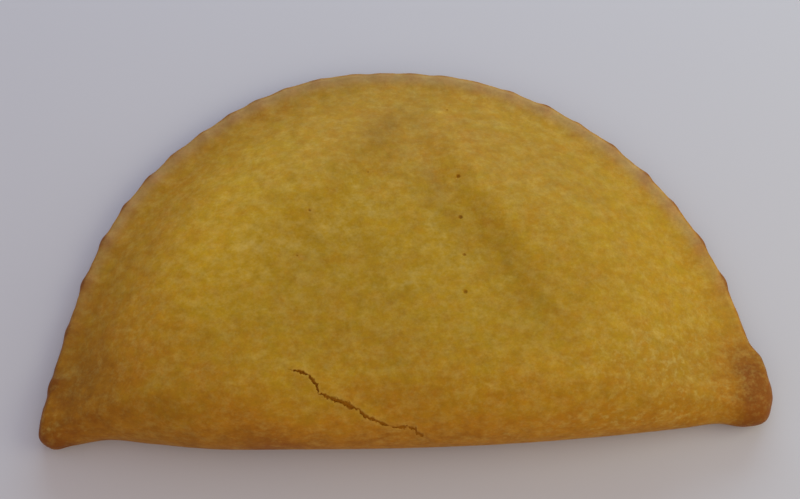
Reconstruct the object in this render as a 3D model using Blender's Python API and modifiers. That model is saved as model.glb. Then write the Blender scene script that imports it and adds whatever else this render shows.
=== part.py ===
"""A baked pastry patty: a round of dough folded over its filling into a half moon.

The straight side is the fold, a fat rounded edge.  The arc is the rim, where the two sheets of
dough are pressed flat together and crimped.  X runs along the fold, Y from the fold to the top
of the arc, Z up.  The origin is on the table, under the middle of the patty.
"""

import math
import random

import bmesh
import bpy
import numpy as np

MM = 0.001

# Plan: the arc is half an ellipse, a little uneven, and the corners are rounded lumps of dough.
# It is flatter at the angles of ARC_FLATS, which holds angle and spread in degrees, and depth.
ARC_CENTRE = (-0.8 * MM, 4.8 * MM)
ARC_HALF_WIDTH = 77.0 * MM
ARC_DEPTH = 80.4 * MM
ARC_SWAY = 0.7 * MM
ARC_SWAY_PEAK = math.radians(5.0)
ARC_FLATS = ((162.0, 19.0, 1.1 * MM), (124.0, 12.0, 0.6 * MM), (89.0, 8.0, 0.5 * MM))
ARC_START = math.radians(18.0)
ARC_END = math.radians(162.0)
ARC_KNOTS = 22
LEFT_CORNER = ((-76.1, 17.2), (-77.3, 11.8), (-78.6, 6.4), (-78.9, 1.9), (-76.6, 0.1), (-71.6, 0.6))
FOLD_LINE = (
    (-64.5, 1.4), (-54.5, 0.1), (-43.0, -1.4), (-23.0, -2.3), (0.0, -2.8), (22.0, -2.6), (43.0, -1.6),
    (60.0, -0.2),
)
RIGHT_CORNER = (
    (68.2, 0.6), (73.6, -0.1), (78.2, 0.9), (79.9, 4.8), (79.6, 10.2), (78.4, 15.0), (76.4, 17.9),
    (75.4, 21.2),
)

# Height: the table is at zero.  The dome starts more steeply on the left part of the arc.
RIM_THICKNESS = 4.6 * MM
RIM_WIDTH = 6.0 * MM
RIM_EDGE_HEIGHT = 2.3 * MM
RIM_ROUNDING = 1.7 * MM
VALLEY_DEPTH = 0.15 * MM
VALLEY_HALF_WIDTH = 1.8 * MM
DOME_HEIGHT = 16.2 * MM
DOME_RUN = 46.0 * MM
DOME_EASING = 4.0 * MM
DOME_FULLNESS = 2.3
DOME_FULLNESS_LEFT = 3.4
DOME_LEFT_FROM = math.radians(70.0)
DOME_LEFT_TO = math.radians(150.0)
FOLD_FACING = (-0.35, 0.9)
FOLD_REACH = 80.1 * MM
FOLD_TAPER = 3.0
FOLD_LEAST = 0.12
FOLD_EDGE_HEIGHT = 6.8 * MM
FOLD_TOP_ROUNDING = 13.5 * MM
FOLD_UNDER_ROUNDING = 5.0 * MM
CORNER_SWELL = 2.6 * MM
CORNER_SWELL_SIZE = 9.0 * MM
CORNER_SWELL_PLACES = ((-73.0 * MM, 6.0 * MM), (73.5 * MM, 6.5 * MM))
SEAM_DEPTH = 0.45 * MM
SEAM_HALF_HEIGHT = 0.4 * MM
SEAM_FADE = 0.4

# The upper middle has sunk between two slopes that meet near the arc; it fades out towards the fold.
SAG_PEAK = (4.4 * MM, 71.0 * MM)
SAG_LEFT_ARM = math.radians(226.0)
SAG_RIGHT_ARM = math.radians(-61.5)
SAG_LEFT_SLOPE = 10.0 * MM
SAG_RIGHT_SLOPE = 9.0 * MM
SAG_DEPTH = 2.0 * MM
SAG_FADE = (8.0 * MM, 44.0 * MM)

# Dents (positive) and swellings (negative) of the top: place, half length, half width, turn, depth.
DENTS = (
    (14.0 * MM, 30.0 * MM, 17.0 * MM, 9.0 * MM, math.radians(60.0), 0.5 * MM),
    (-22.0 * MM, 40.0 * MM, 8.0 * MM, 4.0 * MM, math.radians(115.0), 0.5 * MM),
    (-38.0 * MM, 44.0 * MM, 26.0 * MM, 9.0 * MM, math.radians(56.0), -0.8 * MM),
    (46.0 * MM, 40.0 * MM, 22.0 * MM, 13.0 * MM, math.radians(115.0), -0.9 * MM),
)

# Crimps: raised pads left between the pressed places, closer together round the top of the arc, and
# fainter there.  Angles in degrees.
CRIMP_FIRST = 19.9
CRIMP_LAST = 176.0
CRIMP_PITCH = 5.52
CRIMP_TIGHTEST = 115.0
CRIMP_SPREAD_RIGHT = 0.00024
CRIMP_SPREAD_LEFT = 0.00153
CRIMP_SHAKE = 0.6
CRIMP_FAINTEST = 95.0
CRIMP_FAINT_STRENGTH = 0.55
CRIMP_FULL_STRENGTH = 1.25
CRIMP_STRENGTH_GAIN = 0.00024
CRIMP_UNLIKENESS = 0.2
CRIMP_PAD = 1.9 * MM
CRIMP_RAISE = 0.3 * MM
CRIMP_PRESS = 0.1 * MM
CRIMP_REACH = 0.32 * MM
CRIMP_SLANT = 0.3
CRIMP_FADE = (4.5 * MM, 8.1 * MM)
PRESS_FADE = (3.6 * MM, 7.2 * MM)
CRIMP_SEED = 2733

# The crack in the top sheet, from its inner end to the fold, and the holes that let the steam out.
CRACK_ROUTE = (
    (-22.6, 11.8), (-19.6, 10.7), (-18.1, 7.3), (-17.4, 6.3), (-13.8, 5.3), (-10.6, 3.5), (-7.6, 2.1),
    (-4.2, 0.9), (-1.2, 0.2), (1.6, 0.0), (3.6, -1.0),
)
CRACK_OPENING = (0.25, 0.45, 0.4, 0.25, 0.9, 1.0, 0.75, 0.45, 0.4, 0.45, 0.25)
CRACK_DEPTH = 2.4 * MM
CRACK_CUTTER_HEIGHT = 7.2 * MM
CRACK_FOOT = 0.35
VENTS = ((13.3, 54.6), (13.3, 44.9), (13.7, 36.2), (13.5, 27.8))
VENT_TIP_RADIUS = 0.15 * MM
VENT_MOUTH_RADIUS = 0.85 * MM
VENT_DEPTH = 1.8 * MM
VENT_SIDES = 8

# Mesh: segments round the outline, and rings from the rim to the middle, close together at the rim.
ARC_SEGMENTS = 168
ARC_ENDS_AT = (math.radians(3.0), math.radians(177.0))
FOLD_SEGMENTS = 56
TOP_RINGS = 16
TOP_CROWDING = 1.75
UNDER_RINGS = 6
UNDER_CROWDING = 2.3
LATHE_CENTRE = (0.0, 41.0 * MM)
SIDE_PULL = 0.49
OUTLINE_SAMPLES = 1400
CURVE_STEPS = 80
DISTANCE_BATCH = 500
SHARP_ANGLE = math.radians(60.0)
HEIGHT_POINTS = 4
NEAREST_WEIGHT = 0.1 * MM


def smoothstep(low, high, value):
    """Goes from 0 at low to 1 at high without a corner."""
    share = np.clip((value - low) / (high - low), 0.0, 1.0)
    return share * share * (3.0 - 2.0 * share)


def bell(distance, size):
    """1 at no distance, fading out over about twice the size."""
    return np.exp(-((distance / size) ** 2))


def quarter_round(share):
    """Height of a rounded edge, from 0 at the edge to 1 where the rounding ends."""
    return np.sqrt(1.0 - (1.0 - np.clip(share, 0.0, 1.0)) ** 2)


def outline_knots():
    """The few points that the plan passes through, anticlockwise from the right end of the arc."""
    angles = np.linspace(ARC_START, ARC_END, ARC_KNOTS)
    sway = ARC_SWAY * np.cos(3.0 * (angles - ARC_SWAY_PEAK))
    for place, spread, depth in ARC_FLATS:
        sway -= depth * bell(np.degrees(angles) - place, spread)
    arc = np.column_stack((
        ARC_CENTRE[0] + (ARC_HALF_WIDTH + sway) * np.cos(angles),
        ARC_CENTRE[1] + (ARC_DEPTH + sway) * np.sin(angles),
    ))
    straight = np.array(LEFT_CORNER + FOLD_LINE + RIGHT_CORNER) * MM
    return np.vstack((arc, straight))


def smooth_loop(knots, count):
    """A closed smooth curve through the knots, as points at equal distances along it."""
    after = np.roll(knots, -1, axis=0)
    gap = np.linalg.norm(after - knots, axis=1)
    gap_before = np.roll(gap, 1)
    slope = (after - knots) / gap[:, None]
    slope_before = np.roll(slope, 1, axis=0)
    tangent = (slope * gap_before[:, None] + slope_before * gap[:, None]) / (gap + gap_before)[:, None]
    tangent_after = np.roll(tangent, -1, axis=0)
    run = np.linspace(0.0, 1.0, CURVE_STEPS, endpoint=False)[None, :, None]
    length = gap[:, None, None]
    dense = (
        (2 * run ** 3 - 3 * run ** 2 + 1) * knots[:, None]
        + (run ** 3 - 2 * run ** 2 + run) * length * tangent[:, None]
        + (3 * run ** 2 - 2 * run ** 3) * after[:, None]
        + (run ** 3 - run ** 2) * length * tangent_after[:, None]
    ).reshape(-1, 2)
    steps = np.linalg.norm(np.roll(dense, -1, axis=0) - dense, axis=1)
    along = np.concatenate(([0.0], np.cumsum(steps)))
    closed = np.vstack((dense, dense[:1]))
    wanted = np.linspace(0.0, along[-1], count, endpoint=False)
    return np.column_stack([np.interp(wanted, along, closed[:, axis]) for axis in (0, 1)])


def outward_normals(loop):
    """Unit normals of an anticlockwise loop, pointing out of it."""
    run = np.roll(loop, -1, axis=0) - np.roll(loop, 1, axis=0)
    run /= np.linalg.norm(run, axis=1)[:, None]
    return np.column_stack((run[:, 1], -run[:, 0]))


def segment_places(loop):
    """Picks the outline's samples for the mesh: closer together on the arc than on the fold."""
    angle = np.arctan2(loop[:, 1] - ARC_CENTRE[1], loop[:, 0] - ARC_CENTRE[0])
    on_arc = (angle > ARC_ENDS_AT[0]) & (angle < ARC_ENDS_AT[1])
    weight = np.where(on_arc, ARC_SEGMENTS / on_arc.sum(), FOLD_SEGMENTS / (~on_arc).sum())
    passed = np.concatenate(([0.0], np.cumsum(weight)))[:-1]
    segments = ARC_SEGMENTS + FOLD_SEGMENTS
    return np.searchsorted(passed, np.arange(segments)) % len(loop)


def edge_distance(points, loop):
    """Distance of each plan point from the outline."""
    start = loop[None]
    run = (np.roll(loop, -1, axis=0) - loop)[None]
    best = np.empty(len(points))
    for first in range(0, len(points), DISTANCE_BATCH):
        batch = slice(first, first + DISTANCE_BATCH)
        away = points[batch, None] - start
        share = np.clip((away * run).sum(2) / (run * run).sum(2), 0.0, 1.0)
        best[batch] = np.linalg.norm(away - share[..., None] * run, axis=2).min(1)
    return best


def crimp_places():
    """Angle and strength of each pad, from the right corner round to the left one."""
    draw = random.Random(CRIMP_SEED)
    places = []
    angle = CRIMP_FIRST
    while angle < CRIMP_LAST:
        strength = CRIMP_FAINT_STRENGTH + CRIMP_STRENGTH_GAIN * (angle - CRIMP_FAINTEST) ** 2
        strength = min(strength, CRIMP_FULL_STRENGTH)
        strength *= draw.uniform(1.0 - CRIMP_UNLIKENESS, 1.0 + CRIMP_UNLIKENESS)
        places.append((math.radians(angle), strength))
        away = angle - CRIMP_TIGHTEST
        spread = CRIMP_SPREAD_LEFT if away > 0 else CRIMP_SPREAD_RIGHT
        angle += CRIMP_PITCH + spread * away * away + draw.uniform(-CRIMP_SHAKE, CRIMP_SHAKE)
    return places


def arc_place(points):
    """Distance inwards from the ellipse of the arc, and angle round its centre from the right."""
    x = (points[:, 0] - ARC_CENTRE[0]) / ARC_HALF_WIDTH
    y = (points[:, 1] - ARC_CENTRE[1]) / ARC_DEPTH
    angle = np.mod(np.arctan2(y, x) + math.pi / 2, 2 * math.pi) - math.pi / 2
    return (1.0 - np.hypot(x, y)) * ARC_HALF_WIDTH, angle


def crimp_pads(points, inset):
    """0 in the pressed places and about 1 on a pad, fading out where the dome starts."""
    angle = arc_place(points)[1]
    pads = np.zeros(len(points))
    for place, strength in crimp_places():
        away = (angle - place) * ARC_HALF_WIDTH + CRIMP_SLANT * inset
        pads += strength * bell(away, CRIMP_PAD)
    return pads * (1.0 - smoothstep(CRIMP_FADE[0], CRIMP_FADE[1], inset))


def sag(points):
    """How far the upper middle has sunk: fully between the two slopes, not at all outside them."""
    across = points - np.array(SAG_PEAK)
    left = across @ np.array((-math.sin(SAG_LEFT_ARM), math.cos(SAG_LEFT_ARM)))
    right = across @ np.array((math.sin(SAG_RIGHT_ARM), -math.cos(SAG_RIGHT_ARM)))
    inside = smoothstep(-0.5, 0.5, left / SAG_LEFT_SLOPE) * smoothstep(-0.5, 0.5, right / SAG_RIGHT_SLOPE)
    return SAG_DEPTH * inside * smoothstep(SAG_FADE[0], SAG_FADE[1], points[:, 1])


def top_height(points):
    """Height of the top sheet over the plan, before its edge is rounded off."""
    from_arc, angle = arc_place(points)
    inwards = from_arc - RIM_WIDTH
    eased = (inwards + np.hypot(inwards, DOME_EASING)) / 2
    climb = np.clip(eased / DOME_RUN, 0.0, 1.0)
    left = smoothstep(DOME_LEFT_FROM, DOME_LEFT_TO, angle)
    fullness = DOME_FULLNESS + left * (DOME_FULLNESS_LEFT - DOME_FULLNESS)
    height = RIM_THICKNESS + DOME_HEIGHT * (1.0 - (1.0 - climb) ** fullness)
    height -= VALLEY_DEPTH * bell(inwards, VALLEY_HALF_WIDTH)
    for place in CORNER_SWELL_PLACES:
        height += CORNER_SWELL * bell(np.linalg.norm(points - place, axis=1), CORNER_SWELL_SIZE)
    for across, up, half_length, half_width, turn, depth in DENTS:
        along = (points[:, 0] - across) * math.cos(turn) + (points[:, 1] - up) * math.sin(turn)
        aside = (points[:, 1] - up) * math.cos(turn) - (points[:, 0] - across) * math.sin(turn)
        height -= depth * bell(along, half_length) * bell(aside, half_width)
    return height - sag(points)


def fold_shares(edge, normals):
    """How much of the fat folded edge each place of the outline has: 0 on the arc, 1 mid fold."""
    facing = smoothstep(FOLD_FACING[0], FOLD_FACING[1], -normals[:, 1])
    taper = 1.0 - np.abs(edge[:, 0] / FOLD_REACH) ** FOLD_TAPER
    return facing * taper.clip(FOLD_LEAST, 1.0)


def patty_surface(rings):
    """Points of each ring: rings run from the middle of the top, out over the rim and under."""
    loop = smooth_loop(outline_knots(), OUTLINE_SAMPLES)
    normals = outward_normals(loop)
    places = segment_places(loop)
    edge = loop[places]
    outward = normals[places]
    share = fold_shares(edge, outward)
    edge_height = RIM_EDGE_HEIGHT + share * (FOLD_EDGE_HEIGHT - RIM_EDGE_HEIGHT)
    top_rounding = RIM_ROUNDING + share * (FOLD_TOP_ROUNDING - RIM_ROUNDING)
    under_rounding = RIM_ROUNDING + share * (FOLD_UNDER_ROUNDING - RIM_ROUNDING)
    seam = 1.0 - smoothstep(0.0, SEAM_FADE, share)
    surface = []
    for side, reach in rings:
        pull = 1.0 - reach * (SIDE_PULL + (1.0 - SIDE_PULL) * reach)
        plan = np.column_stack((
            LATHE_CENTRE[0] + (edge[:, 0] - LATHE_CENTRE[0]) * pull,
            LATHE_CENTRE[1] + (edge[:, 1] - LATHE_CENTRE[1]) * (1.0 - reach),
        ))
        inset = edge_distance(plan, loop)
        pads = crimp_pads(plan, inset) * seam
        if side > 0:
            lip = edge_height + SEAM_HALF_HEIGHT
            pressed = seam * (1.0 - smoothstep(PRESS_FADE[0], PRESS_FADE[1], inset))
            crown = top_height(plan) + CRIMP_RAISE * pads - CRIMP_PRESS * pressed
            height = lip + (crown - lip) * quarter_round(inset / top_rounding)
        elif side < 0:
            lip = edge_height - SEAM_HALF_HEIGHT
            height = lip * (1.0 - quarter_round(inset / under_rounding))
        else:
            plan = plan - outward * (seam * SEAM_DEPTH)[:, None]
            height = edge_height
        fade = 1.0 - smoothstep(0.0, RIM_WIDTH, inset)
        plan = plan + outward * (CRIMP_REACH * pads * fade)[:, None]
        surface.append(np.column_stack((plan, height)))
    return surface


def ring_list():
    """Side (1 top, 0 seam, -1 underside) and reach towards the middle of every ring, top first."""
    top = [(1, (step / TOP_RINGS) ** TOP_CROWDING) for step in range(TOP_RINGS, -1, -1)]
    under = [(-1, (step / UNDER_RINGS) ** UNDER_CROWDING) for step in range(UNDER_RINGS + 1)]
    return top + [(0, 0.0)] + under


def baked_crust():
    """Golden, turmeric-yellow shortcrust."""
    material = bpy.data.materials.new("baked_crust")
    material.use_nodes = True
    shader = material.node_tree.nodes["Principled BSDF"]
    shader.inputs["Base Color"].default_value = (0.47, 0.27, 0.07, 1.0)
    shader.inputs["Roughness"].default_value = 0.5
    shader.inputs["Metallic"].default_value = 0.0
    return material


def new_object(name, mesh, collection):
    """Puts a mesh in the scene as an object of the given collection."""
    made = bpy.data.objects.new(name, mesh)
    collection.objects.link(made)
    return made


def patty(collection):
    """The whole patty: a ball drawn out over the plan, ring by ring."""
    rings = ring_list()
    segments = ARC_SEGMENTS + FOLD_SEGMENTS
    surface = patty_surface(rings)
    shape = bmesh.new()
    bmesh.ops.create_uvsphere(shape, u_segments=segments, v_segments=len(rings) - 1, radius=1.0)
    for point in shape.verts:
        ring = round(math.acos(max(-1.0, min(1.0, point.co.z))) / math.pi * (len(rings) - 1))
        segment = round(math.atan2(point.co.y, point.co.x) / (2 * math.pi) * segments) % segments
        point.co = surface[ring][segment]
    bmesh.ops.recalc_face_normals(shape, faces=shape.faces)
    bmesh.ops.triangulate(shape, faces=shape.faces, quad_method="SHORT_EDGE")
    mesh = bpy.data.meshes.new("patty")
    shape.to_mesh(mesh)
    shape.free()
    mesh.shade_smooth()
    mesh.set_sharp_from_angle(angle=SHARP_ANGLE)
    mesh.materials.append(baked_crust())
    return new_object("patty", mesh, collection)


def surface_height(place, mesh):
    """Height of the top sheet at a plan point, from the mesh points nearest to it."""
    points = np.empty(len(mesh.vertices) * 3)
    mesh.vertices.foreach_get("co", points)
    points = points.reshape(-1, 3)
    above = points[points[:, 2] > RIM_THICKNESS]
    near = above[np.argsort(np.linalg.norm(above[:, :2] - place, axis=1))[:HEIGHT_POINTS]]
    nearness = 1.0 / (np.linalg.norm(near[:, :2] - place, axis=1) + NEAREST_WEIGHT)
    return float((near[:, 2] * nearness).sum() / nearness.sum())


def crack_cutter(mesh, collection):
    """A thin upright ribbon along the crack, thickened to the width of its opening."""
    shape = bmesh.new()
    count = len(CRACK_ROUTE)
    bmesh.ops.create_grid(shape, x_segments=count - 1, y_segments=1, size=1.0)
    weights = {}
    for point in shape.verts:
        station = round((point.co.x + 1.0) / 2.0 * (count - 1))
        lower = point.co.y < 0.0
        place = np.array(CRACK_ROUTE[station]) * MM
        floor = surface_height(place, mesh) - CRACK_DEPTH
        point.co = (place[0], place[1], floor if lower else floor + CRACK_CUTTER_HEIGHT)
        weights[point.index] = CRACK_OPENING[station] / max(CRACK_OPENING) * (CRACK_FOOT if lower else 1.0)
    ribbon = bpy.data.meshes.new("crack_ribbon")
    shape.to_mesh(ribbon)
    shape.free()
    cutter = new_object("crack_ribbon", ribbon, collection)
    group = cutter.vertex_groups.new(name="opening")
    for index, weight in weights.items():
        group.add([index], weight, "REPLACE")
    thicken = cutter.modifiers.new("opening", "SOLIDIFY")
    thicken.thickness = max(CRACK_OPENING) * MM
    thicken.offset = 0.0
    thicken.vertex_group = group.name
    return cutter


def vent_cutter(name, place, mesh, collection):
    """A cone that points down into the top sheet."""
    shape = bmesh.new()
    bmesh.ops.create_cone(
        shape, cap_ends=True, segments=VENT_SIDES, radius1=VENT_TIP_RADIUS, radius2=VENT_MOUTH_RADIUS,
        depth=2.0 * VENT_DEPTH,
    )
    pit = bpy.data.meshes.new(name)
    shape.to_mesh(pit)
    shape.free()
    cutter = new_object(name, pit, collection)
    cutter.location = (place[0], place[1], surface_height(np.array(place), mesh))
    return cutter


def hide_cutter(cutter):
    """Keeps a cutter out of renders and shows it as a wire frame."""
    cutter.hide_render = True
    cutter.display_type = "WIRE"


def cut(target, cutter):
    """Takes the cutter's volume away from the target."""
    modifier = target.modifiers.new(cutter.name, "BOOLEAN")
    modifier.operation = "DIFFERENCE"
    modifier.solver = "EXACT"
    modifier.object = cutter


def centre_on_table(things):
    """Moves everything so that the middle of the patty's plan is over the origin."""
    corners = np.array([vertex.co for vertex in things[0].data.vertices])
    middle = (corners.min(axis=0) + corners.max(axis=0)) / 2
    for thing in things:
        thing.location.x -= middle[0]
        thing.location.y -= middle[1]


def main():
    for old in list(bpy.data.objects):
        bpy.data.objects.remove(old, do_unlink=True)
    parts = bpy.data.collections.new("jamaican_patty")
    cutters = bpy.data.collections.new("cutters")
    bpy.context.scene.collection.children.link(parts)
    bpy.context.scene.collection.children.link(cutters)
    crust = patty(parts)
    tools = [crack_cutter(crust.data, cutters)]
    for number, (across, up) in enumerate(VENTS, start=1):
        tools.append(vent_cutter(f"vent_{number}", (across * MM, up * MM), crust.data, cutters))
    centre_on_table([crust] + tools)
    for tool in tools:
        hide_cutter(tool)
        cut(crust, tool)


main()
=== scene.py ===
import math
import random

import bmesh
import bpy
import numpy as np
from bpy.props import FloatProperty, FloatVectorProperty, IntProperty, PointerProperty
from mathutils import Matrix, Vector, kdtree, noise


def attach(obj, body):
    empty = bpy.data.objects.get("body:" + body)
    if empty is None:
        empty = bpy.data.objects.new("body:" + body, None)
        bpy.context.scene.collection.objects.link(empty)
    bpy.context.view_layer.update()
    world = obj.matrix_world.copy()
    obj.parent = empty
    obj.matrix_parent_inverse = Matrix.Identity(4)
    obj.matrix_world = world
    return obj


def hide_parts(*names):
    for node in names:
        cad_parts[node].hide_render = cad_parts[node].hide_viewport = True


bl_info = {
    "name": "Baked Patty",
    "version": (1, 0, 0),
    "blender": (4, 5, 0),
    "location": "View3D > Sidebar > Patty",
    "description": "Finishes a folded pastry patty: crust, crimps, crack, steam holes and browning",
    "category": "Object",
}

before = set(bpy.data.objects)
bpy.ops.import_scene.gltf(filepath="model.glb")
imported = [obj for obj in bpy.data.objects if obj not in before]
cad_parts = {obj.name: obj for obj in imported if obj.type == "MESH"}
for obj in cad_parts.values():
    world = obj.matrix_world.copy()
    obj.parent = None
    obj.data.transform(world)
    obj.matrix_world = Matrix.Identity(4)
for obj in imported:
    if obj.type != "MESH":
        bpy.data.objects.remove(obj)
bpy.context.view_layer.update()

MM = 0.001
NODE = "patty"
CRUST = "patty_crust"

# Plan: the arc is half an ellipse, a little uneven, and the corners are rounded lumps of dough.
# Plan places are measured from the middle of the line between the corners, Y towards the arc. The
# points of the corners and the fold are in mm.
# The arc is flatter at the angles of ARC_FLATS, which holds angle and spread in degrees, and depth.
ARC_CENTRE = (-0.8 * MM, 4.8 * MM)
ARC_HALF_WIDTH = 77.0 * MM
ARC_DEPTH = 80.4 * MM
ARC_SWAY = 0.7 * MM
ARC_SWAY_PEAK = math.radians(5.0)
ARC_FLATS = ((162.0, 19.0, 1.1 * MM), (124.0, 12.0, 0.6 * MM), (89.0, 8.0, 0.5 * MM))
ARC_START = math.radians(18.0)
ARC_END = math.radians(162.0)
ARC_KNOTS = 22
LEFT_CORNER = ((-76.1, 17.2), (-77.3, 11.8), (-78.6, 6.4), (-78.9, 1.9), (-76.6, 0.1), (-71.6, 0.6))
FOLD_LINE = (
    (-64.5, 1.4), (-54.5, 0.1), (-43.0, -1.4), (-23.0, -2.3), (0.0, -2.8), (22.0, -2.6), (43.0, -1.6),
    (60.0, -0.2),
)
RIGHT_CORNER = (
    (68.2, 0.6), (73.6, -0.1), (78.2, 0.9), (79.9, 4.8), (79.6, 10.2), (78.4, 15.0), (76.4, 17.9),
    (75.4, 21.2),
)
CORNER_SWELLS = ((-73.0 * MM, 6.0 * MM), (73.5 * MM, 6.5 * MM))
OUTLINE_SAMPLES = 4000
CURVE_STEPS = 200

# The fold's share of the outline grows between two values of how far the outline faces away from
# the arc. It falls off towards the corners, to FOLD_LEAST. The arc's seam ends at share SEAM_END.
FOLD_FACING = (-0.35, 0.9)
FOLD_REACH = 1.04 * ARC_HALF_WIDTH
FOLD_TAPER = 3
FOLD_LEAST = 0.12
SEAM_END = 0.4

# Shares of the rim's width: where pads fade out, where the pressing fades out, the half width of
# the valley behind the rim, and where the soft lumps of the dome set in.
PAD_FADE = (0.75, 1.35)
PRESS_FADE = (0.6, 1.2)
VALLEY_HALF_WIDTH = 0.3
LUMP_START = (0.2, 2.0)

# The upper middle has sunk between two slopes that meet near the arc; it fades out towards the fold.
SAG_PEAK = (4.4 * MM, 71.0 * MM)
SAG_LEFT_ARM = math.radians(226.0)
SAG_RIGHT_ARM = math.radians(-61.5)
SAG_FADE = (8.0 * MM, 44.0 * MM)

# The dome starts more steeply on the left of the arc. This sets in between these angles.
DOME_LEFT_FROM = math.radians(70.0)
DOME_LEFT_TO = math.radians(150.0)

# Dents (positive) and swellings (negative) of the top: place, half length, half width, turn, depth.
DENTS = (
    (14.0 * MM, 30.0 * MM, 17.0 * MM, 9.0 * MM, math.radians(60.0), 0.5 * MM),
    (-21.5 * MM, 40.0 * MM, 7.0 * MM, 3.0 * MM, math.radians(112.0), 0.5 * MM),
    (-38.0 * MM, 44.0 * MM, 26.0 * MM, 9.0 * MM, math.radians(56.0), -0.8 * MM),
    (46.0 * MM, 40.0 * MM, 22.0 * MM, 13.0 * MM, math.radians(115.0), -0.9 * MM),
)

# The rings close in on this point, at first more slowly along the fold than across it. They are
# crowded towards the edge by these powers. The seam between the sheets has three more, at these
# shares of its half height.
LATHE_CENTRE = (0.0, 41.0 * MM)
SIDE_PULL = 0.6
TOP_CROWDING = 1.2
UNDER_CROWDING = 2.0
SEAM_LEVELS = (0.5, 0.0, -0.5)

# Crimps are closest together at CRIMP_TIGHTEST, and spread out on both sides of it with the square
# of the angle; they are faintest at CRIMP_FAINTEST. Angles in degrees. A program fitted the spacing
# to a photograph's crimps, and picked the seed that matches them best out of thousands.
CRIMP_FIRST = 19.9
CRIMP_LAST = 176.0
CRIMP_TIGHTEST = 115.0
CRIMP_SPREAD_RIGHT = 0.00024
CRIMP_SPREAD_LEFT = 0.00153
CRIMP_SHAKE = 0.6
CRIMP_FAINTEST = 95.0
CRIMP_FAINT_STRENGTH = 0.55
CRIMP_FULL_STRENGTH = 1.25
CRIMP_STRENGTH_GAIN = 0.00024
CRIMP_UNLIKENESS = 0.2
CRIMP_SEED = 2733

# The crack, from its inner end to the fold: place and width of its opening, in mm. The places are
# points of a photograph that a program turned into mm, some of them moved a little since.
CRACK = (
    (-22.5, 11.8, 0.4), (-21.7, 11.6, 0.55), (-20.8, 11.4, 0.65), (-20.3, 11.0, 0.3), (-19.6, 10.8, 0.14),
    (-19.2, 10.1, 0.5), (-18.6, 9.3, 0.65), (-18.1, 8.7, 0.6), (-18.0, 8.0, 0.4), (-17.8, 7.0, 0.12),
    (-16.7, 6.7, 0.32), (-15.8, 6.2, 0.5), (-14.8, 5.8, 0.75), (-14.0, 5.5, 1.0), (-13.0, 5.2, 0.6),
    (-12.2, 4.8, 0.85), (-11.4, 4.4, 0.95), (-10.5, 4.0, 0.3), (-9.5, 3.6, 0.25), (-9.1, 3.1, 0.6),
    (-8.3, 2.3, 0.65), (-7.3, 2.0, 0.65), (-6.3, 1.6, 0.4), (-5.3, 1.1, 0.5), (-4.2, 0.7, 0.4),
    (-3.2, 0.4, 0.08), (-2.4, 0.3, 0.34), (-1.1, 0.2, 0.55), (-0.1, 0.2, 0.35), (0.6, 0.2, 0.15),
    (1.1, -0.1, 0.5), (1.9, -0.1, 0.6), (2.1, -0.5, 0.4), (2.6, -1.0, 0.55), (3.5, -1.4, 0.4),
)
CRACK_ROUTE = np.array(CRACK)[:, :2] * MM
CRACK_OPENING = np.array(CRACK)[:, 2] * MM

# Steam holes and smaller pits: place in mm, and size, which is 1 for a full steam hole.
VENTS = (
    (13.3, 54.6, 0.95), (13.3, 44.9, 1.0), (13.7, 36.2, 0.8), (13.5, 27.8, 1.0),
    (-19.1, 47.1, 0.65), (-21.9, 37.2, 0.4), (11.9, 73.1, 0.5), (-6.3, 56.3, 0.4),
)

# The crack's floor reaches the first share of half its opening. Its wall ends at the second share,
# and WALL_WIDTH further out. Half openings below the first of CRACK_SHUT are shut, and above the
# second fully open. The depth goes with the opening's share of the widest, to CRACK_DEEPENING's power.
CRACK_WALL = (0.4, 1.2)
WALL_WIDTH = 0.1 * MM
CRACK_SHUT = (0.03 * MM, 0.13 * MM)
CRACK_DEEPENING = 0.5

# How far the crack changes the crust, in lip widths, and the least upward facing that it changes.
CRACK_REACH = 4.0
CRACK_FACING = -0.2

# Lift of the edge on the fold's side, as a share of the other's, and the part of a lip that is pale.
FOLD_SIDE_LIFT = 0.5
PALE_LIP = 0.35

# How fine the unevenness of the opening is, as a share of the tears' size along the edges.
OPENING_TEARS = 0.7

# A steam hole's floor reaches the first of these, and its wall ends at the second, in radii.
VENT_WALL = (0.35, 1.3)

# Faces are cut finer this near to the crack, once for each entry, and a share as near to a vent.
REFINE_REACH = (2.4 * MM, 1.5 * MM, 0.95 * MM)
VENT_REFINE = 0.8

# Only what is higher than this is cut finer or pricked, so that the underside stays whole.
TOP_LEVEL = 6.0 * MM

# The upward facing over which the unevenness sets in, so that the underside stays flat.
UNEVEN_FACING = (-0.3, 0.3)

# Where each unevenness is read from the noise, so that none repeats another. Each octave is
# OCTAVE_STEP times finer than the last, and that to the power OCTAVE_FADE times fainter.
LUMP_NOISE = 3.0
TEAR_NOISE = (5.0, 9.0)
RIPPLE_NOISE = 17.0
OPENING_NOISE = 27.0
BLISTER_NOISE = 41.0
SEAM_NOISE = 61.0
OCTAVE_STEP = 2.1
OCTAVE_FADE = 1.0


def smoothstep(low, high, value):
    """Goes from 0 at low to 1 at high without a corner."""
    share = np.clip((value - low) / (high - low), 0.0, 1.0)
    return share * share * (3.0 - 2.0 * share)


def bell(distance, size):
    """1 at no distance, fading out over about twice the size."""
    return np.exp(-((distance / size) ** 2))


def quarter_round(share):
    """Height of a rounded edge, from 0 at the edge to 1 where the rounding ends."""
    return np.sqrt(1.0 - (1.0 - np.clip(share, 0.0, 1.0)) ** 2)


def length(name, description, default):
    """A size in metres for the panel."""
    return FloatProperty(name=name, description=description, default=default, unit="LENGTH", precision=5)


def factor(name, description, default):
    """A number between 0 and 1 for the panel."""
    return FloatProperty(
        name=name, description=description, default=default, min=0.0, max=1.0, subtype="FACTOR")


def colour(name, description, default):
    """A colour for the panel."""
    return FloatVectorProperty(
        name=name, description=description, default=default, min=0.0, max=1.0, size=3, subtype="COLOR")


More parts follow.
